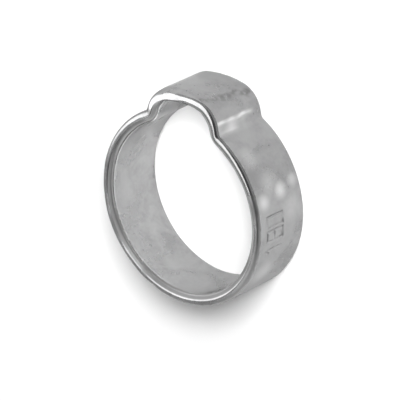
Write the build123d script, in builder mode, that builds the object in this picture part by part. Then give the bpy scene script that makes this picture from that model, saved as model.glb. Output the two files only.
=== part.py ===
from build123d import *
import math
import os

# Single-ear hose clamp: one seamless steel band, closed all round, with one pressed ear.
# Millimetres. The band's axis is Z, mid-width is z = 0, and the ear stands out along +Y.

# Band
bore_radius = 9.0        # open, before the ear is pinched
wall = 1.25
band_width = 7.0

# Ear, measured over its outer faces
ear_rise = 2.0           # crown above the band's outer face
ear_half_width = 4.7     # at the feet, where the flanks leave the band
flank_lean = 14.0        # degrees that each flank leans in towards the crown
crown_radius = 12.0
crown_wall = 1.1         # the pressing stretches the crown thinner than the band
shoulder_radius = 2.9    # outside of the bend from flank to crown
shoulder_inner_radius = 2.1
foot_radius = 0.35       # outside of the tight bend from band to flank

# Rims
lip_radius = 0.5         # round on each outer edge
bevel_width = 0.55       # radial reach of the inner bevel
bevel_depth = 0.25       # how far the bevel runs along the axis
least_land = 0.05        # flat left between lip and bevel where the wall is thinnest

outer_radius = bore_radius + wall
root_height = math.sqrt(outer_radius**2 - ear_half_width**2)
lean_slope = math.tan(math.radians(flank_lean))
flank_wall = wall / math.cos(math.radians(flank_lean))    # the wall measured straight across
thinnest_wall = min(wall, crown_wall)
lip = min(lip_radius, thinnest_wall / 2)
bevel = min(bevel_width, thinnest_wall - lip - least_land)


def band_outline(ring_radius, half_width, crown_height, crown_arc, shoulder, foot):
    """Closed outline of the ring and its ear, seen along the axis."""
    base_half = half_width + root_height * lean_slope
    top = crown_height + 1
    top_half = half_width - (top - root_height) * lean_slope
    with BuildSketch() as outline:
        with Locations((0, crown_height - crown_arc)):
            Circle(crown_arc)
        with BuildLine():
            Polyline((-base_half, 0), (base_half, 0), (top_half, top), (-top_half, top), close=True)
        make_face(mode=Mode.INTERSECT)
        Circle(ring_radius)
        feet = outline.vertices().sort_by(Axis.Y)[-4:-2]
        fillet(feet, radius=foot)
        shoulders = outline.vertices().sort_by(Axis.Y)[-2:]
        fillet(shoulders, radius=shoulder)
    return outline.sketch


outer_outline = band_outline(
    outer_radius,
    ear_half_width,
    outer_radius + ear_rise,
    crown_radius,
    shoulder_radius,
    foot_radius,
)
inner_outline = band_outline(
    bore_radius,
    ear_half_width - flank_wall,
    outer_radius + ear_rise - crown_wall,
    crown_radius - crown_wall,
    shoulder_inner_radius,
    foot_radius + wall,
)

with BuildPart() as band:
    add(outer_outline)
    extrude(amount=band_width / 2, both=True)
    fillet(band.edges().filter_by(Plane.XY), radius=lip)
    with BuildSketch():
        add(inner_outline)
    extrude(amount=band_width / 2, both=True, mode=Mode.SUBTRACT)
    for rim in (band.faces().sort_by(Axis.Z)[0], band.faces().sort_by(Axis.Z)[-1]):
        chamfer(rim.inner_wires()[0].edges(), length=bevel, length2=bevel_depth, reference=rim)

band.part.label = "band"

os.makedirs("parts", exist_ok=True)
export_step(band.part, "parts/band.step")
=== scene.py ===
import math

import bpy
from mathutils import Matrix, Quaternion, Vector, noise


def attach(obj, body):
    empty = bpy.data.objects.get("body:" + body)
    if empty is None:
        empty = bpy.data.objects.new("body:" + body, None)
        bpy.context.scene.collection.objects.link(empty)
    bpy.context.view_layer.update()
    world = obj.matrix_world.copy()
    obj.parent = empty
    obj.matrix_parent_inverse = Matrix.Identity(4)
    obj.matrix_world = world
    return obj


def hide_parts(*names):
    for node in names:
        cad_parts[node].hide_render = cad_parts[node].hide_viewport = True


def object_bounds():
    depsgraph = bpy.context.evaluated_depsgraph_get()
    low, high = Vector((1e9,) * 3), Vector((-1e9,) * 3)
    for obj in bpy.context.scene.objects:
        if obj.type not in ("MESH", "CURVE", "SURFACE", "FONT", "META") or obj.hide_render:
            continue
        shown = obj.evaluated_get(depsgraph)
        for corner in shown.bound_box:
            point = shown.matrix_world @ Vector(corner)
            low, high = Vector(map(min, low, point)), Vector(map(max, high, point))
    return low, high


mm = 0.001
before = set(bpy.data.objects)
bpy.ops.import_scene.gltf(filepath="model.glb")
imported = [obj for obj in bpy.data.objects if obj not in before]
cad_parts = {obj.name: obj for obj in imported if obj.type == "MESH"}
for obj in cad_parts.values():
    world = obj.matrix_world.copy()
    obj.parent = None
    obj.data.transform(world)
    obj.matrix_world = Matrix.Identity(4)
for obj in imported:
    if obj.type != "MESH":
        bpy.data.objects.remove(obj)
cadLow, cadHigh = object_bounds()
print("frame loaded:", sorted(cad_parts))


def deselectAll():
    if bpy.context.mode != "OBJECT":
        bpy.ops.object.mode_set(mode="OBJECT")
    bpy.ops.object.select_all(action="DESELECT")


def pickVertices(obj, wanted):
    # leaves the object in edit mode with only the wanted vertices selected
    bpy.ops.object.mode_set(mode="EDIT")
    bpy.ops.mesh.select_mode(type="VERT")
    bpy.ops.mesh.select_all(action="DESELECT")
    bpy.ops.object.mode_set(mode="OBJECT")
    for vertex in obj.data.vertices:
        vertex.select = wanted(vertex.co)
    bpy.ops.object.mode_set(mode="EDIT")


def cutEdges(obj, wanted, cuts):
    # subdivides the edges whose two ends both pass the test
    pickVertices(obj, wanted)
    bpy.ops.mesh.select_mode(type="EDGE")
    bpy.ops.mesh.subdivide(number_cuts=cuts)
    bpy.ops.object.mode_set(mode="OBJECT")


def ramp(value, low, high):
    # 0 below low, 1 above high, eased between
    t = min(1, max(0, (value - low) / (high - low)))
    return t * t * (3 - 2 * t)


def addShares(obj, *names):
    # a 0 to 1 value at every point for each name; all are made before any is read
    for name in names:
        obj.data.attributes.new(name, "FLOAT", "POINT")
    return [obj.data.attributes[name].data for name in names]


def turnApart(a, b):
    # the signed difference of two angles, the short way round
    return (a - b + math.pi) % (2 * math.pi) - math.pi


def bell(angle, centre, spread):
    return math.exp(-((math.degrees(turnApart(angle, math.radians(centre))) / spread) ** 2))


# the band: its section is drawn once, then spun round the arcs of the ring and of the ear

band = {
    "boreRadius": 9.0 * mm,
    "wall": 1.25 * mm,
    "width": 7.0 * mm,
    "earRise": 2.0 * mm,
    "earHalfWidth": 4.7 * mm,
    "flankLean": math.radians(14),
    "crownRadius": 12.0 * mm,
    "crownWall": 1.1 * mm,
    "thinFade": (0.45, 0.75),      # where the thin wall ends, in half ear widths
    "shoulderRadius": 2.9 * mm,
    "shoulderThick": 0.18 * mm,    # extra wall in the hollow of the shoulder's bend
    "shoulderSpread": math.radians(34),
    "footRadius": 0.35 * mm,
    "lipRadius": 0.5 * mm,
    "lipSegments": 9,
    "bevelWidth": 0.57 * mm,
    "bevelDepth": 0.25 * mm,
    "crestRound": 0.07 * mm,
    "crestSegments": 3,
    "boreRound": 0.24 * mm,
    "boreSegments": 7,
    "crownRight": (-0.9, 3.1),     # x in mm over which the crown's own rim ends, on the right
    "crownLeft": (2.8, 4.8),       # and on the left
    "crownFoot": (9.4, 11.2),      # y in mm over which it begins
    "crownLean": 0.09 * mm,
    "crownFall": 0.68 * mm,        # how much further the lip falls away along the crown
    "fallReach": 0.85,             # how deep into the wall the fall reaches
    "fadeStart": 0.32 * mm,        # how far below the rim the fall begins to fade, and is gone
    "fadeDepth": 1.6 * mm,
    "flatShare": 0.8,              # how much of the bevel is lost on the crown
    "flatFrom": (0.3, 0.5),        # depths in the wall between which that starts
    "flatDepth": (0.8, 2.0),       # and in bevel depths below the rim
    "bevelReturn": (-1.5, 0.8),    # x in mm over which the upper rim's bevel comes back
    "rolledStart": (111, 123),     # degrees over which the rolled bore edge begins
    "rolledEnd": (142, 176),
    "rolledEdge": 0.52 * mm,
    "flankSlant": 0.02,
    "slantFrom": 9.4 * mm,
    "slantReach": 1.8 * mm,
    "slantFade": (-2.5, -0.5),
    "wallCuts": 45,
    "boreCuts": 38,
    "bevelCuts": 2,
    "bevelCutInset": (0.85, 0.75),     # how far into its two rounds the bevel isn't cut
    "stepLength": 0.125 * mm,      # along the ring and the crown
    "bendStep": math.radians(3),   # round the tight bends
    "mergeWithin": 0.002 * mm,
    "faceMargin": 0.001,           # depths this close to 0 or 1 are on the outer wall or the bore
    "smoothAngle": math.radians(60),
}


def earGeometry(size):
    # centres and turns of the tangent arcs that make half of the outer outline
    ring = size["boreRadius"] + size["wall"]
    lean = size["flankLean"]
    along = Vector((-math.sin(lean), math.cos(lean)))
    outward = Vector((math.cos(lean), math.sin(lean)))
    root = Vector((size["earHalfWidth"], math.sqrt(ring**2 - size["earHalfWidth"] ** 2)))
    footSide = root.dot(outward) + size["footRadius"]
    foot = outward * footSide + along * math.sqrt((ring + size["footRadius"]) ** 2 - footSide**2)
    crown = Vector((0, ring + size["earRise"] - size["crownRadius"]))
    reach = size["crownRadius"] - size["shoulderRadius"]
    shoulderSide = root.dot(outward) - size["shoulderRadius"] - crown.dot(outward)
    shoulder = crown + outward * shoulderSide + along * math.sqrt(reach**2 - shoulderSide**2)
    footAngle = math.atan2(foot.y, foot.x)
    crownAngle = math.atan2(shoulder.y - crown.y, shoulder.x - crown.x)
    flank = (shoulder + outward * size["shoulderRadius"]) - (foot - outward * size["footRadius"])
    return {
        "ring": ring,
        "ringTurn": math.pi / 2 + footAngle,
        "foot": foot,
        "footTurn": footAngle - lean,
        "flank": flank,
        "shoulder": shoulder,
        "shoulderTurn": crownAngle - lean,
        "crown": crown,
        "crownTurn": math.pi / 2 - crownAngle,
    }


def makeSection(size):
    # a plate standing on the ring's lowest point: Y runs through the wall, Z across the band
    ring = size["boreRadius"] + size["wall"]
    half = size["width"] / 2
    near = 0.001 * mm      # close enough to be on a line
    deselectAll()
    bpy.ops.mesh.primitive_plane_add(
        size=1, location=(0, size["wall"] / 2 - ring, 0), rotation=(0, math.pi / 2, 0)
    )
    obj = bpy.context.object
    obj.scale = (size["width"], size["wall"], 1)
    bpy.ops.object.transform_apply(location=True, rotation=True, scale=True)
    pickVertices(obj, lambda co: co.y < near - ring)
    bpy.ops.mesh.bevel(
        affect="VERTICES", offset=size["lipRadius"], segments=size["lipSegments"], profile=0.5
    )
    onBore = lambda co: co.y > -size["boreRadius"] - near
    pickVertices(obj, onBore)
    bpy.ops.mesh.bevel(affect="VERTICES", offset=size["bevelWidth"], segments=1)
    bpy.ops.object.mode_set(mode="OBJECT")
    for vertex in obj.data.vertices:
        if onBore(vertex.co):
            vertex.co.z = math.copysign(half - size["bevelDepth"], vertex.co.z)
    crest = -size["boreRadius"] - size["bevelWidth"]
    pickVertices(obj, lambda co: abs(co.y - crest) < near)
    bpy.ops.mesh.bevel(
        affect="VERTICES", offset=size["crestRound"], segments=size["crestSegments"], profile=0.5
    )
    pickVertices(obj, onBore)
    bpy.ops.mesh.bevel(
        affect="VERTICES", offset=size["boreRound"], segments=size["boreSegments"], profile=0.5
    )
    bpy.ops.object.mode_set(mode="OBJECT")
    startShare, endShare = size["bevelCutInset"]
    bevelStart = crest + size["crestRound"] * startShare
    bevelEnd = -size["boreRadius"] - size["boreRound"] * endShare
    onBevel = lambda co: bevelStart < co.y < bevelEnd
    wallEnd = half - size["lipRadius"] + near
    cutEdges(obj, onBore, size["boreCuts"])
    cutEdges(obj, lambda co: co.y < near - ring and abs(co.z) < wallEnd, size["wallCuts"])
    for side in (-1, 1):
        cutEdges(obj, lambda co: onBevel(co) and co.z * side > 0, size["bevelCuts"])
    return obj


def spinOn(centre, turn, steps):
    # positive turns run anticlockwise seen from +Z
    bpy.ops.mesh.spin(steps=steps, angle=turn, center=(centre[0], centre[1], 0), axis=(0, 0, -1))


def sweepHalf(obj, size):
    place = earGeometry(size)
    depth, = addShares(obj, "wallDepth")   # 0 outside, 1 at the bore
    for vertex in obj.data.vertices:
        depth[vertex.index].value = (vertex.co.y + place["ring"]) / size["wall"]
    pickVertices(obj, lambda co: True)
    bpy.ops.mesh.delete(type="ONLY_FACE")
    bpy.ops.mesh.select_all(action="SELECT")
    bend = size["bendStep"]
    spinOn((0, 0), place["ringTurn"], round(place["ring"] * place["ringTurn"] / size["stepLength"]))
    spinOn(place["foot"], -place["footTurn"], round(place["footTurn"] / bend))
    flankSteps = round(place["flank"].length / size["stepLength"])
    for step in range(flankSteps):
        move = place["flank"] / flankSteps
        bpy.ops.mesh.extrude_region_move(TRANSFORM_OT_translate={"value": (move.x, move.y, 0)})
    spinOn(place["shoulder"], place["shoulderTurn"], round(place["shoulderTurn"] / bend))
    spinOn(place["crown"], place["crownTurn"],
           round(size["crownRadius"] * place["crownTurn"] / size["stepLength"]))
    bpy.ops.object.mode_set(mode="OBJECT")
    return place


def thinCrown(obj, size, place):
    # the pressing stretches the crown, whose inside is lifted, and fills the shoulder's hollow
    depth = obj.data.attributes["wallDepth"].data
    lift = size["wall"] - size["crownWall"]
    thinFrom, thinTo = (factor * size["earHalfWidth"] for factor in size["thinFade"])
    bendMiddle = size["flankLean"] + place["shoulderTurn"] / 2
    for vertex in obj.data.vertices:
        if vertex.co.y < place["flank"].y + place["foot"].y - size["wall"]:
            continue
        outward = (vertex.co.xy - place["crown"]).normalized()
        share = 1 - ramp(abs(vertex.co.x), thinFrom, thinTo)
        fromBend = vertex.co.xy - place["shoulder"]
        turned = turnApart(math.atan2(fromBend.y, fromBend.x), bendMiddle)
        thick = size["shoulderThick"] * math.exp(-((turned / size["shoulderSpread"]) ** 2))
        move = outward * lift * share - fromBend.normalized() * thick
        vertex.co.xy += move * depth[vertex.index].value


def closeBand(obj, size):
    mirror = obj.modifiers.new("otherHalf", "MIRROR")
    mirror.use_clip = True
    mirror.merge_threshold = size["mergeWithin"]
    bpy.ops.object.modifier_apply(modifier=mirror.name)
    bpy.ops.object.mode_set(mode="EDIT")
    bpy.ops.mesh.select_all(action="SELECT")
    bpy.ops.mesh.remove_doubles(threshold=size["mergeWithin"])
    bpy.ops.mesh.normals_make_consistent(inside=False)
    bpy.ops.object.mode_set(mode="OBJECT")


def crownShare(co, size):
    # 1 on the left half of the crown, fading over the right half and down the left flank
    x, y = co.x / mm, co.y / mm
    across = (1 - ramp(x, *size["crownRight"])) * (1 - ramp(-x, *size["crownLeft"]))
    return across * ramp(y, *size["crownFoot"])


def roundShare(co, size):
    # 1 from the left shoulder down past the foot, where the bore's edge is rolled, not sheared
    if co.x > 0:
        return 0
    turned = math.degrees(math.atan2(co.y, co.x)) % 360
    along = ramp(turned, *size["rolledStart"]) * (1 - ramp(turned, *size["rolledEnd"]))
    return along * (1 - crownShare(co, size))


def shapeRims(obj, size):
    # hardly any bevel where the crown is stretched, a rolled edge left of it, and a rim that slants
    depth = obj.data.attributes["wallDepth"].data
    half = size["width"] / 2
    crest = 1 - size["bevelWidth"] / size["wall"]
    flatTop, flatEnd = (factor * size["bevelDepth"] for factor in size["flatDepth"])
    for vertex in obj.data.vertices:
        co, inside = vertex.co, depth[vertex.index].value
        low = half - abs(co.z)
        share, rolled = crownShare(co, size), roundShare(co, size)
        if low > size["fadeDepth"] or max(share, rolled) == 0:
            continue
        flat = share * ramp(inside, *size["flatFrom"]) * (1 - ramp(low, flatTop, flatEnd))
        if co.z > 0:
            flat *= 1 - ramp(co.x / mm, *size["bevelReturn"])
        if crest < inside < 1 - size["faceMargin"] and low < size["rolledEdge"]:
            t = (inside - crest) / (1 - crest)
            low += rolled * (size["rolledEdge"] * (1 - math.sqrt(1 - t * t)) - low)
        fall = 0
        if co.z > 0:
            fade = 1 - ramp(low, size["fadeStart"], size["fadeDepth"])
            fall = share * size["crownLean"] * (1 - inside)
            fall += share * size["crownFall"] * max(0, 1 - inside / size["fallReach"]) ** 2
            slant = min(size["slantReach"], max(0, co.y - size["slantFrom"]))
            slant = slant * (1 - ramp(co.x / mm, *size["slantFade"]))
            fall = fade * (fall + size["flankSlant"] * slant)
        co.z = math.copysign(half - low * (1 - size["flatShare"] * flat) - fall, co.z)


def makeBand(size):
    obj = makeSection(size)
    obj.name = obj.data.name = "clampBand"
    place = sweepHalf(obj, size)
    thinCrown(obj, size, place)
    closeBand(obj, size)
    shapeRims(obj, size)
    return obj


clampBand = makeBand(band)
outerRadius = band["boreRadius"] + band["wall"]
print("band swept:", len(clampBand.data.vertices), "points")


# size figures pressed into the outer wall: plain digits, the bore in tenths of a millimetre

stamp = {
    "angle": math.radians(-2.0),
    "rise": 1.10 * mm,         # middle of the figures, above mid-width
    "height": 2.30 * mm,
    "digitWidth": 1.05 * mm,
    "gap": 0.48 * mm,
    "crossbar": 0.06,          # height of the 8's middle stroke, in half heights
    "flag": (0.35, 0.62),      # of the 1: reach in digit widths, height of its tip in half heights
    "strokeWidth": 0.17 * mm,
    "depth": 0.11 * mm,
    "skin": 0.1 * mm,          # points deeper in the wall than this aren't pressed
    "margin": 0.35 * mm,       # finer mesh this far beyond the figures
    "cuts": 2,
    "slope": (0.15, 1.1),      # sides of a stroke, in stroke widths from its middle
    "heave": (1.7, 0.5, 0.16),     # metal pushed up beside it: how far off, how broad, how high
    "wornScale": 1100,
    "wornRange": (-0.35, 0.25),
    "wornLeast": 0.30,
}


def stampStrokes(size):
    # strokes as pairs of points: x along the band, y across it, centred on the figures
    w, h = size["digitWidth"], size["height"] / 2
    pitch = w + size["gap"]
    middle = size["crossbar"] * h
    flagReach, flagTip = size["flag"]
    strokes = [((-pitch, -h), (-pitch, h)), ((-pitch, h), (-pitch - w * flagReach, h * flagTip))]
    for centre, rungs in ((0, (-h, middle, h)), (pitch, (-h, h))):
        for side in (-w / 2, w / 2):
            strokes.append(((centre + side, -h), (centre + side, h)))
        for y in rungs:
            strokes.append(((centre - w / 2, y), (centre + w / 2, y)))
    return strokes


def strokeDistance(point, stroke):
    a, b = Vector(stroke[0]), Vector(stroke[1])
    line = b - a
    share = min(1, max(0, (point - a).dot(line) / line.length_squared))
    return (point - a - line * share).length


def stampPlace(co, size):
    # where a point of the outer wall lies on the figures, or None away from them
    if math.hypot(co.x, co.y) < outerRadius - size["skin"]:
        return None
    along = turnApart(math.atan2(co.y, co.x), size["angle"]) * outerRadius
    point = Vector((along, co.z - size["rise"]))
    halfLength = 1.5 * size["digitWidth"] + size["gap"] + size["margin"]
    if abs(point.x) > halfLength or abs(point.y) > size["height"] / 2 + size["margin"]:
        return None
    return point


def pressStamp(obj, size):
    pickVertices(obj, lambda co: stampPlace(co, size) is not None)
    bpy.ops.mesh.select_mode(type="FACE")
    bpy.ops.mesh.subdivide(number_cuts=size["cuts"])
    bpy.ops.object.mode_set(mode="OBJECT")
    strokes = stampStrokes(size)
    heaveAt, heaveBroad, heaveHigh = size["heave"]
    mark, = addShares(obj, "pressed")
    for vertex in obj.data.vertices:
        co = vertex.co
        point = stampPlace(co, size)
        if point is None:
            continue
        nearest = min(strokeDistance(point, stroke) for stroke in strokes)
        press = 1 - ramp(nearest, *(edge * size["strokeWidth"] for edge in size["slope"]))
        heave = math.exp(-(((nearest / size["strokeWidth"]) - heaveAt) / heaveBroad) ** 2)
        wearAndPaintedLight = noise.noise(Vector((point.x, point.y, 0)) * size["wornScale"])
        wearAndPaintedLight = size["wornLeast"] + (1 - size["wornLeast"]) * ramp(wearAndPaintedLight, *size["wornRange"])
        deep = (press - heaveHigh * heave) * wearAndPaintedLight
        if abs(co.z) < band["width"] / 2 - band["lipRadius"]:
            co.xy = co.xy.normalized() * outerRadius
        co.xy -= co.xy.normalized() * size["depth"] * deep
        # the mark later darkens the strokes' colour: painted shade in the recess
        mark[vertex.index].value = press * wearAndPaintedLight


pressStamp(clampBand, stamp)
print("figures pressed:", len(clampBand.data.vertices), "points")


# uneven walls: broad swells left by the pressing, a fine ripple, and rims that roll in and out

swell = {
    "height": 0.020 * mm,
    "scale": 260,
    "rippleHeight": 0.004 * mm,
    "rippleScale": 1100,
    "rimRoll": 0.045 * mm,      # how far the rims' crest tips either way
    "rimScale": 330,
    "rimZone": (0.5 * mm, 0.1 * mm),        # how far below the rims the roll begins and is full
    "crestDepth": 0.45,         # the crest's place in the wall, and how broad the tip is there
    "crestSpread": 0.25,
    "tips": ((-156, 16, 0.070), (16, 20, -0.070), (-35, 18, 0.045), (-127, 9, -0.040),
             (-82, 20, -0.030), (54, 12, 0.030)),     # angle, spread, tip in mm
}


def crestTip(angle, tips):
    return sum(tip * bell(angle, centre, spread) for centre, spread, tip in tips)


def addSwells(obj, size):
    depth = obj.data.attributes["wallDepth"].data
    half = band["width"] / 2
    rollStart, rollFull = (half - away for away in size["rimZone"])
    normals = [vertex.normal.copy() for vertex in obj.data.vertices]
    for vertex, normal in zip(obj.data.vertices, normals):
        broad = noise.noise(vertex.co * size["scale"])
        fine = noise.noise(vertex.co * size["rippleScale"] + Vector((5, 3, 8)))
        across = depth[vertex.index].value - size["crestDepth"]
        flat = Vector((vertex.co.x, vertex.co.y, math.copysign(half, vertex.co.z))) * size["rimScale"]
        roll = noise.noise(flat + Vector((2, 9, 4))) * across
        atRim = ramp(abs(vertex.co.z), rollStart, rollFull)
        vertex.co += normal * (broad * size["height"] + fine * size["rippleHeight"])
        crest = across / size["crestSpread"]
        tip = crestTip(math.atan2(vertex.co.y, vertex.co.x), size["tips"]) * mm
        tip *= crest * math.exp(-(crest**2))
        vertex.co.z += math.copysign((roll * size["rimRoll"] + tip) * atRim, vertex.co.z)


addSwells(clampBand, swell)
print("walls and rims made uneven")


# marks of handling and of the pincers: small dents in a row over the ear, and creases on its flank,
# with painted highlights along the creases and a painted lighter zone below them

marks = {
    "scuffs": (                  # x, z, reach and depth of each dent on top of the ear
        (2.10, 3.00, 0.55, 0.040),
        (2.40, 2.45, 0.50, 0.034),
        (2.65, 1.70, 0.55, 0.042),
        (2.80, 0.75, 0.62, 0.060),
        (2.90, -0.05, 0.55, 0.048),
        (2.80, -1.15, 0.60, 0.060),
        (3.15, -1.75, 0.50, 0.052),
        (3.30, -2.45, 0.60, 0.058),
    ),
    "left": 0.5 * mm,            # no marks left of this, below this or deeper in the wall
    "foot": 8.6 * mm,
    "skin": 0.05,
    "scuffFoot": 10.9 * mm,      # no dents below this
    "scuffStretch": 1.3,         # how much narrower than tall a dent is
    "scuffFade": (0.2, 1.3),     # its sides, in reaches from its middle
    "scuffFull": 0.040,          # the depth at which it is fully dark
    "scuffMost": 0.8,
    "dentShare": 0.5,            # how much of its depth is pressed in; the rest only darkens it
    "torn": 1500,                # the dents' ragged pattern
    "tornFine": (2.1, 0.5),      # how much finer its second layer is, and how strong
    "tornRange": (0.18, 0.60),
    "creases": (                 # height on the right flank, z from, z to, half width, rise
        (10.22, -1.9, 3.5, 0.19, 0.034),
        (9.28, 0.4, 3.5, 0.16, 0.012),
        (9.85, -0.2, 0.7, 0.10, -0.020),
    ),
    "creaseSides": (0.1, 1.4),   # in half widths from its middle
    "creaseStart": (-0.5, 0.9),  # z over which it begins and ends, from its own two
    "creaseEnd": (-0.3, 0.3),
    "creaseWander": 0.12,
    "wanderScale": 0.8,
    "creaseShine": (0.55, 0.8, 900),         # painted highlight of a crease: how bright it is, how far that varies, noise scale
    "creaseFull": 0.034,         # the rise at which a crease's painted highlight is full, where the noise is at 1
    "creaseMost": 0.8,
    "flank": (8.8, 10.2, 0.50),  # painted lighter zone under the first crease, a painted highlight: from, to, strength
    "flankEdges": (0.5, 0.2),
    "flankCloud": (0.6, 700),    # its middle strength and noise scale
    "flankFade": (-2.5, 0.5),    # z over which it begins
    "flankFrom": 3.7 * mm,       # creases and the painted lighter zone lie beyond this x
}


def scuffDepth(co, size):
    depth = 0
    near, far = size["scuffFade"]
    for x, z, reach, deep in size["scuffs"]:
        away = math.hypot((co.x / mm - x) * size["scuffStretch"], co.z / mm - z) / reach
        if away < far:
            depth = max(depth, deep * (1 - ramp(away, near, far)))
    if depth == 0:
        return 0
    finer, share = size["tornFine"]
    torn = abs(noise.noise(co * size["torn"]))
    torn += share * abs(noise.noise(co * size["torn"] * finer))
    return depth * (1 - ramp(torn, *size["tornRange"]))


def creaseRise(co, size):
    rise = 0
    for y, low, high, halfWidth, tall in size["creases"]:
        z = co.z / mm
        wander = size["creaseWander"] * noise.noise(Vector((y, z * size["wanderScale"], 0)))
        away = abs(co.y / mm - y - wander) / halfWidth
        begins = ramp(z, *(low + past for past in size["creaseStart"]))
        ends = begins * (1 - ramp(z, *(high + past for past in size["creaseEnd"])))
        rise += tall * ends * (1 - ramp(away, *size["creaseSides"]))
    return rise


def flankLight(co, size):
    # painted highlight: a lighter zone of colour on the flank
    low, high, strength = size["flank"]
    lowEdge, highEdge = size["flankEdges"]
    middle, scale = size["flankCloud"]
    light = ramp(co.y / mm, low, low + lowEdge)
    light *= 1 - ramp(co.y / mm, high - highEdge, high + highEdge)
    cloud = strength * (middle + noise.noise(co * scale))
    return light * (cloud * ramp(co.z / mm, *size["flankFade"]))


def addMarks(obj, size):
    scuffed, creaseHighlight = addShares(obj, "scuffed", "creaseHighlight")
    depth = obj.data.attributes["wallDepth"].data
    shineMiddle, shineRange, shineScale = size["creaseShine"]
    normals = [vertex.normal.copy() for vertex in obj.data.vertices]
    for vertex, normal in zip(obj.data.vertices, normals):
        co = vertex.co
        if depth[vertex.index].value > size["skin"] or co.x < size["left"] or co.y < size["foot"]:
            continue
        dent = scuffDepth(co, size) if co.y > size["scuffFoot"] else 0
        rise, light = 0, 0
        if co.x > size["flankFrom"]:
            rise = creaseRise(co, size)
            light = flankLight(co, size)
        # painted highlight along the crease ridges, varied by noise, and on the flank's lighter zone
        wearAndPaintedLight = shineMiddle + shineRange * noise.noise(co * shineScale + Vector((1, 7, 2)))
        shine = light + wearAndPaintedLight * rise / size["creaseFull"]
        scuffed[vertex.index].value = min(size["scuffMost"], dent / size["scuffFull"])
        creaseHighlight[vertex.index].value = max(0, min(size["creaseMost"], shine))
        vertex.co = co + normal * (rise - size["dentShare"] * dent) * mm


addMarks(clampBand, marks)
print("ear scuffed and creased")


# where the surface differs: the sheared inner edge and the stained streak inside; and light and shade
# painted into the colour: painted highlight spots and lines, and painted shade on the walls and rims

finish = {
    # painted highlights: soft bright spots on the outer wall
    "highlightSpots": ((18.5, 2.3, 1.2, 0.55), (21.5, -0.3, 1.3, 0.62), (24.0, -2.3, 1.0, 0.36),
              (28.0, 0.9, 1.9, 0.26), (9.0, -1.6, 1.9, 0.22), (44.0, 1.9, 1.7, 0.25),
              (-28.0, 1.4, 2.4, 0.35)),     # angle, z, reach, strength
    # angle, spread and most of each stretch; the stretches below are painted shade, painted
    # highlights and a rubbed lip
    # painted shade on the outer wall: a little all round, more at these angles
    "outsidePaintedShade": ((76, 22, 0.31), (106, 13, 0.14), (-72, 22, 0.08), (36, 18, 0.30)),
    "outsideShadeLeast": 0.25,
    # darker stretches of the bore at these angles
    "insideDarker": ((150, 38, 0.15), (-112, 20, 0.11)),
    "insideDarkerLeast": 0.05,
    # painted shade on the rims, which dims their reflections at these angles
    "rimPaintedShade": ((-152, 10, 1.5), (-118, 3.5, 0.8), (-22, 26, 0.5), (17, 9, 1.2)),
    "lipPaintedShade": ((139, 20, 1.5), (113, 6, 1.5)),     # painted shade on the outer edge of the lip
    # painted shade: the bevel greyed at these angles
    "bevelPaintedShade": ((-106, 16, 1.0), (-78, 18, 1.0), (-50, 18, 1.0), (-22, 16, 0.8)),
    "rubbedLip": ((-32, 26, 0.95),),
    "rimMargin": 0.03 * mm,      # the rim's colours end this far below the bevel
    # painted highlights: a light line at the bore's edge and along the flank
    "boreHighlight": 0.50,
    "flankHighlight": ((115, 5, 1.0),),
    "rimHighlights": ((-129, 5.0, 1.0), (-109, 3.5, 1.0)),     # painted highlight streaks near the rim's outer edge
    "mostStretch": 1.7,             # where stretches add up
    "streak": ((-213, 0.4), (-200, 0.3), (-180, -0.2), (-163, -0.6), (-145, 0.2), (-127, 0.95),
               (-111, 1.7)),     # angle and z of the points it runs through
    "streakReach": 1.3,
    # depths in the wall, 0 outside to 1 at the bore, where each zone begins or ends
    "outsideEnd": 0.1,
    "insideStart": 0.95,
    "bevelZone": (0.02, 0.14),   # past the crest
    "shearedEnd": (0.68, 1),
    "rubbedEnd": (0.3, 0.45),
    "rimStart": (0, 0.12),
    "lipEnd": (0.10, 0.28),
    "streaksEnd": (0.22, 0.38),
    "boreStart": (0.84, 0.94),
    "rolledStart": (0.72, 0.92),
    "flankStart": (0.3, 0.5),
}


def highlightSpotShare(angle, z, highlightSpots):
    share = 0
    for centre, height, reach, strength in highlightSpots:
        away = math.hypot(turnApart(angle, math.radians(centre)) * outerRadius / mm, z - height)
        share = max(share, strength * (1 - ramp(away, 0, reach)))
    return share


def streakShare(angle, z, size):
    # lengths along the bore are angles times its radius in mm
    radius = band["boreRadius"] / mm
    places = [(math.radians(a + 360 if a < 0 else a) * radius, z) for a, z in size["streak"]]
    point = Vector(((angle % (2 * math.pi)) * radius, z))
    nearest = min(strokeDistance(point, ends) for ends in zip(places, places[1:]))
    return 1 - ramp(nearest, 0, size["streakReach"])


def stretchSum(angle, start, places):
    total = start + sum(most * bell(angle, centre, spread) for centre, spread, most in places)
    return min(finish["mostStretch"], total)


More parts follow.
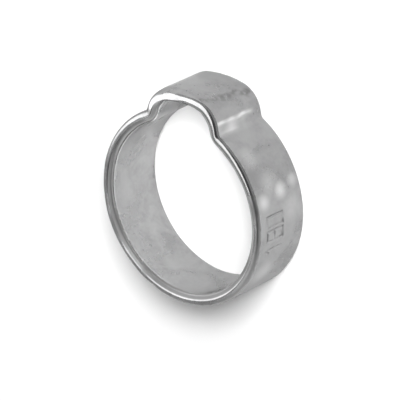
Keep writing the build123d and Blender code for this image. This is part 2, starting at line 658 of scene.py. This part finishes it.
def markFinish(obj, size):
    sheared, paintedHighlight, streaked, paintedShade = addShares(obj, "sheared", "paintedHighlight", "streaked", "paintedShade")
    depth = obj.data.attributes["wallDepth"].data
    half = band["width"] / 2
    crestDepth = 1 - band["bevelWidth"] / band["wall"]
    bevelFrom, bevelTo = (crestDepth + past for past in size["bevelZone"])
    for vertex in obj.data.vertices:
        i, co = vertex.index, vertex.co
        angle, inside = math.atan2(co.y, co.x), depth[i].value
        rolled = roundShare(co, band)
        plain = 1 - crownShare(co, band) - rolled
        bevel = ramp(inside, bevelFrom, bevelTo)
        # painted shade on the bevel; where it is greyed, the sheared edge is not
        bevelShaded = min(1, stretchSum(angle, 0, size["bevelPaintedShade"]))
        if abs(co.z) > half - band["bevelDepth"] - size["rimMargin"]:
            rubbed = stretchSum(angle, 0, size["rubbedLip"]) * (1 - ramp(inside, *size["rubbedEnd"]))
            cut = bevel * (1 - ramp(inside, *size["shearedEnd"])) * plain * (1 - bevelShaded)
            sheared[i].value = cut + rubbed
        # the outer wall gets painted highlight spots and painted shade; the bore gets the stained
        # streak and darker stretches
        if inside < size["outsideEnd"]:
            paintedHighlight[i].value = highlightSpotShare(angle, co.z / mm, size["highlightSpots"])
            paintedShade[i].value = stretchSum(angle, size["outsideShadeLeast"], size["outsidePaintedShade"])
        elif inside > size["insideStart"]:
            streaked[i].value = streakShare(angle, co.z / mm, size)
            paintedShade[i].value = stretchSum(angle, size["insideDarkerLeast"], size["insideDarker"])
        inWall = band["faceMargin"] < inside < size["insideStart"]
        # the rims get painted shade that dims their reflections, and painted highlights along their
        # edges
        if co.z > half - band["lipRadius"] or (co.z > 0 and inWall):
            onRim = ramp(inside, *size["rimStart"])
            start = stretchSum(angle, 0, size["lipPaintedShade"]) * (1 - ramp(inside, *size["lipEnd"]))
            start += size["mostStretch"] * bevelShaded * bevel
            rimShade = stretchSum(angle, start, size["rimPaintedShade"])
            paintedShade[i].value += (rimShade - paintedShade[i].value) * onRim
            bright = stretchSum(angle, 0, size["rimHighlights"]) * (1 - ramp(inside, *size["streaksEnd"]))
            bright += size["boreHighlight"] * ramp(inside, *size["boreStart"]) * plain
            bright += rolled * ramp(inside, *size["rolledStart"])
            bright += stretchSum(angle, 0, size["flankHighlight"]) * ramp(inside, *size["flankStart"])
            paintedHighlight[i].value += (min(1, bright) - paintedHighlight[i].value) * onRim


markFinish(clampBand, finish)
print("finish mapped")


# zinc-plated steel, with painted shade and painted highlights mixed into its colour

zinc = {
    "dull": (0.325, 0.325, 0.328, 1),
    "bright": (0.440, 0.440, 0.443, 1),
    # the colour of painted shade
    "wearAndPaintedLight": (0.14, 0.14, 0.14, 1),
    # the colour of painted highlights
    "highlightTone": (0.80, 0.80, 0.80, 1),
    # a real stain in the bore, also used as painted shade in the stamped strokes
    "stainAndShade": (0.29, 0.29, 0.29, 1),
    "sheared": (0.52, 0.52, 0.522, 1),
    "scuff": (0.25, 0.25, 0.25, 1),
    # the colour of painted highlights along the creases and the flank
    "creaseGlint": (0.80, 0.80, 0.80, 1),
    "edgeTint": (0.66, 0.66, 0.66, 1),
    "clouds": (330, 3, 0.8),     # each noise's scale, detail and distortion
    "grain": (2600, 4, 0),
    "rollLines": (1, 2, 0),
    "worms": (620, 3, 1.4),
    "grainShare": 0.20,          # of the tone; clouds make the rest
    "toneRange": (0.34, 0.66),
    "roughRange": (0.38, 0.62),
    "rollScale": (60, 60, 5200),
    "rollShare": 0.35,
    "wormRange": (0.42, 0.66),
    "wormShares": (0.12, 0.75),
    "paintedShadeShare": 0.5,            # how much of the painted shade colour a painted shade value of 1 brings
    # how much painted shade the stamped strokes get
    "pressedShadeShare": 0.45,
    "tornRange": (0.35, 0.6),
    "tornLeast": 0.35,
    "rimZone": (0.55 * mm, 0.25 * mm),      # how far from the rims their roughness begins and is full
    "wallRoughness": (0.26, 0.40),
    "rimRoughness": (0.17, 0.50),
    "rimShade": (0, 1.5),       # painted shade values over which the rims go from one roughness to the other
    "shearedRoughness": 0.70,
    "bump": 0.05,
    "bumpDistance": 0.06 * mm,
}


def addNode(tree, kind, where, **settings):
    node = tree.nodes.new(kind)
    node.location = where
    for name, value in settings.items():
        setattr(node, name, value)
    return node


def connect(tree, socket, value):
    # the value is another node's output or fixed
    if isinstance(value, bpy.types.NodeSocket):
        tree.links.new(value, socket)
    else:
        socket.default_value = value


def mixColour(tree, where, share, first, second):
    node = addNode(tree, "ShaderNodeMix", where, data_type="RGBA")
    connect(tree, node.inputs["Factor"], share)
    connect(tree, node.inputs[6], first)
    connect(tree, node.inputs[7], second)
    return node.outputs[2]


def remap(tree, where, value, fromLow, fromHigh, toLow=0, toHigh=1):
    node = addNode(tree, "ShaderNodeMapRange", where, interpolation_type="SMOOTHSTEP")
    tree.links.new(value, node.inputs["Value"])
    node.inputs["From Min"].default_value, node.inputs["From Max"].default_value = fromLow, fromHigh
    node.inputs["To Min"].default_value, node.inputs["To Max"].default_value = toLow, toHigh
    return node.outputs["Result"]


def calculate(tree, where, operation, *values):
    node = addNode(tree, "ShaderNodeMath", where, operation=operation)
    for socket, value in zip(node.inputs, values):
        connect(tree, socket, value)
    return node.outputs[0]


def mixValue(tree, where, share, first, second):
    node = addNode(tree, "ShaderNodeMix", where)
    connect(tree, node.inputs["Factor"], share)
    connect(tree, node.inputs[2], first)
    connect(tree, node.inputs[3], second)
    return node.outputs[0]


def noiseAt(tree, where, vector, scale, detail, distortion):
    node = addNode(tree, "ShaderNodeTexNoise", where)
    tree.links.new(vector, node.inputs["Vector"])
    node.inputs["Scale"].default_value = scale
    node.inputs["Detail"].default_value = detail
    node.inputs["Distortion"].default_value = distortion
    return node.outputs["Fac"]


def attributeOf(tree, where, name):
    return addNode(tree, "ShaderNodeAttribute", where, attribute_name=name).outputs["Fac"]


def makeZinc(look):
    material = bpy.data.materials.new("zincPlatedSteel")
    material.use_nodes = True
    tree = material.node_tree
    shader = tree.nodes["Principled BSDF"]
    shader.inputs["Metallic"].default_value = 1
    shader.inputs["Specular Tint"].default_value = look["edgeTint"]
    place = addNode(tree, "ShaderNodeTexCoord", (-1700, 0)).outputs["Object"]
    rolled = addNode(tree, "ShaderNodeMapping", (-1500, -260))
    rolled.inputs["Scale"].default_value = look["rollScale"]
    tree.links.new(place, rolled.inputs["Vector"])
    clouds = noiseAt(tree, (-1300, 300), place, *look["clouds"])
    grain = noiseAt(tree, (-1300, 60), place, *look["grain"])
    lines = noiseAt(tree, (-1300, -200), rolled.outputs["Vector"], *look["rollLines"])
    worms = noiseAt(tree, (-1300, -460), place, *look["worms"])
    names = ("paintedShade", "paintedHighlight", "streaked", "sheared", "scuffed", "creaseHighlight", "pressed")
    shares = {}
    for row, name in enumerate(names):
        shares[name] = attributeOf(tree, (-1050, 100 - 160 * row), name)

    fineTone = calculate(tree, (-1050, 280), "MULTIPLY", grain, look["grainShare"])
    tone = calculate(tree, (-850, 400), "MULTIPLY_ADD", clouds, 1 - look["grainShare"], fineTone)
    paintedShade = calculate(tree, (-850, 100), "MULTIPLY", shares["paintedShade"], look["paintedShadeShare"])
    wormLines = remap(tree, (-850, -300), worms, *look["wormRange"], *look["wormShares"])
    stained = calculate(tree, (-650, -200), "MULTIPLY", shares["streaked"], wormLines)
    tears = remap(tree, (-850, -620), grain, *look["tornRange"], look["tornLeast"], 1)
    torn = calculate(tree, (-650, -560), "MULTIPLY", shares["scuffed"], tears)
    pressed = calculate(tree, (-650, -900), "MULTIPLY", shares["pressed"], look["pressedShadeShare"])

    # colour layers: painted shade, painted highlights, stain in the bore, sheared edge, scuffs,
    # painted crease highlights, painted shade in the stamped strokes
    layers = (
        (paintedShade, "wearAndPaintedLight"),
        (shares["paintedHighlight"], "highlightTone"),
        (stained, "stainAndShade"),
        (shares["sheared"], "sheared"),
        (torn, "scuff"),
        (shares["creaseHighlight"], "creaseGlint"),
        (pressed, "stainAndShade"),
    )
    toneShare = remap(tree, (-650, 560), tone, *look["toneRange"])
    colour = mixColour(tree, (-450, 400), toneShare, look["dull"], look["bright"])
    for column, (share, name) in enumerate(layers):
        colour = mixColour(tree, (-280 + 160 * column, 400), share, colour, look[name])
    tree.links.new(colour, shader.inputs["Base Color"])

    apart = addNode(tree, "ShaderNodeSeparateXYZ", (-1500, -1160))
    tree.links.new(place, apart.inputs[0])
    height = calculate(tree, (-1300, -1160), "ABSOLUTE", apart.outputs["Z"])
    rimStart, rimFull = (band["width"] / 2 - away for away in look["rimZone"])
    rim = remap(tree, (-1100, -1160), height, rimStart, rimFull)
    wallRough = remap(tree, (-650, 200), tone, *look["roughRange"], *look["wallRoughness"])
    rimRough = remap(tree, (-650, 0), shares["paintedShade"], *look["rimShade"], *look["rimRoughness"])
    rough = mixValue(tree, (-400, 100), rim, wallRough, rimRough)
    rubbed = calculate(tree, (-400, -100), "MAXIMUM", shares["sheared"], shares["scuffed"])
    rough = mixValue(tree, (-200, 0), rubbed, rough, look["shearedRoughness"])
    tree.links.new(rough, shader.inputs["Roughness"])

    bump = addNode(tree, "ShaderNodeBump", (-250, -340))
    bump.inputs["Strength"].default_value = look["bump"]
    bump.inputs["Distance"].default_value = look["bumpDistance"]
    relief = calculate(tree, (-450, -340), "MULTIPLY_ADD", lines, look["rollShare"], grain)
    tree.links.new(relief, bump.inputs["Height"])
    tree.links.new(bump.outputs["Normal"], shader.inputs["Normal"])
    return material


zincSteel = makeZinc(zinc)
clampBand.data.materials.clear()
clampBand.data.materials.append(zincSteel)
deselectAll()
clampBand.select_set(True)
bpy.context.view_layer.objects.active = clampBand
bpy.ops.object.shade_smooth_by_angle(angle=band["smoothAngle"])
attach(clampBand, "root")
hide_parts("band")
print("material made")


# floor, lamps and camera

studio = {
    "floorSize": 6.0,
    "floorColour": (0.93, 0.93, 0.93, 1),
    "floorRoughness": 0.9,
    "floorShine": 0.1,
    "floorGlow": 0.02,           # share of plain white that the camera and the metal see
    "zenith": 0.10,
    "horizon": 0.52,
    "zenithRise": (0.60, 0.88),  # heights on the sky's unit sphere where one turns into the other
    "floorShare": 0.05,          # how much of the grey surroundings reaches the floor
}


def makeFloor(size):
    deselectAll()
    bpy.ops.mesh.primitive_plane_add(size=size["floorSize"], location=(0, 0, cadLow.z))
    floor = bpy.context.object
    floor.name = "floor"
    material = bpy.data.materials.new("paleFloor")
    material.use_nodes = True
    tree = material.node_tree
    shader = tree.nodes["Principled BSDF"]
    shader.inputs["Base Color"].default_value = size["floorColour"]
    shader.inputs["Roughness"].default_value = size["floorRoughness"]
    shader.inputs["Specular IOR Level"].default_value = size["floorShine"]
    glow = addNode(tree, "ShaderNodeEmission", (0, -300))
    path = addNode(tree, "ShaderNodeLightPath", (-700, 300))
    seen = path.outputs["Is Camera Ray"]
    for name in ("Is Glossy Ray", "Is Transmission Ray"):
        seen = calculate(tree, (-450, 300), "MAXIMUM", seen, path.outputs[name])
    mix = addNode(tree, "ShaderNodeMixShader", (300, 100))
    share = calculate(tree, (-150, 300), "MULTIPLY", seen, size["floorGlow"])
    tree.links.new(share, mix.inputs[0])
    tree.links.new(shader.outputs[0], mix.inputs[1])
    tree.links.new(glow.outputs[0], mix.inputs[2])
    tree.links.new(mix.outputs[0], tree.nodes["Material Output"].inputs["Surface"])
    floor.data.materials.append(material)
    return floor


def aim(azimuth, elevation):
    a, e = math.radians(azimuth), math.radians(elevation)
    return Vector((math.cos(e) * math.cos(a), math.cos(e) * math.sin(a), math.sin(e)))


def addLamp(name, azimuth, elevation, distance, width, height, roll, watts):
    data = bpy.data.lights.new(name, "AREA")
    data.shape = "RECTANGLE"
    data.size, data.size_y = width, height
    data.energy = watts
    lamp = bpy.data.objects.new(name, data)
    bpy.context.scene.collection.objects.link(lamp)
    out = aim(azimuth, elevation)
    lamp.location = out * distance
    lamp.rotation_mode = "QUATERNION"
    lamp.rotation_quaternion = out.to_track_quat("Z", "Y") @ Quaternion((0, 0, 1), math.radians(roll))
    lamp.visible_camera = False
    return lamp


def addSpot(name, target, azimuth, elevation, distance, reach, lampRadius, watts):
    # a round soft-edged pool of light with the given radius on the floor
    data = bpy.data.lights.new(name, "SPOT")
    data.spot_size = 2 * math.atan(reach / distance)
    data.spot_blend = 1
    data.shadow_soft_size = lampRadius
    data.energy = watts
    lamp = bpy.data.objects.new(name, data)
    bpy.context.scene.collection.objects.link(lamp)
    out = aim(azimuth, elevation)
    lamp.location = Vector(target) + out * distance
    lamp.rotation_mode = "QUATERNION"
    lamp.rotation_quaternion = out.to_track_quat("Z", "Y")
    lamp.visible_camera = False
    return lamp


def makeWorld(size):
    world = bpy.data.worlds.new("studio")
    bpy.context.scene.world = world
    world.use_nodes = True
    tree = world.node_tree
    direction = addNode(tree, "ShaderNodeTexCoord", (-900, 0)).outputs["Generated"]
    apart = addNode(tree, "ShaderNodeSeparateXYZ", (-700, 0))
    tree.links.new(direction, apart.inputs[0])
    grey = remap(tree, (-450, 0), apart.outputs["Z"], *size["zenithRise"],
                 size["horizon"], size["zenith"])
    tree.links.new(grey, tree.nodes["Background"].inputs["Color"])
    onFloor = addNode(tree, "ShaderNodeLightPath", (-700, -300)).outputs["Is Diffuse Ray"]
    strength = remap(tree, (-450, -300), onFloor, 0, 1, 1, size["floorShare"])
    tree.links.new(strength, tree.nodes["Background"].inputs["Strength"])


lampBoxes = {
    # azimuth, elevation, distance, width, height, roll and watts
    "sideBox": (166, 46, 1.0, 1.12, 1.5, 0, 12),      # only mirrored in the metal
    "topBox": (52, 41, 3.0, 6.6, 1.8, -30, 104),      # these two only light the floor
    "keyBox": (49, 41, 3.0, 1.05, 0.9, 0, 103),
}

# on the floor under the ear, seen through the ring: target, azimuth, elevation, distance, reach,
# lamp radius and watts
floorSpot = ((-4.3 * mm, 6.6 * mm, cadLow.z), -95, 68, 0.4, 7.5 * mm, 10 * mm, 10.5)

makeFloor(studio)
makeWorld(studio)
for name, place in lampBoxes.items():
    lamp = addLamp(name, *place)
    lamp.visible_diffuse = name != "sideBox"
    lamp.visible_glossy = name == "sideBox"
holeSpot = addSpot("holeSpot", *floorSpot)
holeSpot.visible_glossy = False

view = {
    "azimuth": 35.54,
    "elevation": 44.20,
    "roll": -115.28,
    "distance": 396.4 * mm,
    "target": Vector((-0.303, -0.326, 0)) * mm,
    "lens": 360,
    "sensor": 36,
}


def makeCamera(look):
    data = bpy.data.cameras.new("camera")
    data.lens = look["lens"]
    data.sensor_width = look["sensor"]
    camera = bpy.data.objects.new("camera", data)
    bpy.context.scene.collection.objects.link(camera)
    back = aim(look["azimuth"], look["elevation"])
    camera.location = look["target"] + back * look["distance"]
    camera.rotation_mode = "QUATERNION"
    turn = Quaternion((0, 0, 1), math.radians(look["roll"]))
    camera.rotation_quaternion = back.to_track_quat("Z", "Y") @ turn
    bpy.context.scene.camera = camera


makeCamera(view)
bpy.context.scene.view_settings.view_transform = "Standard"
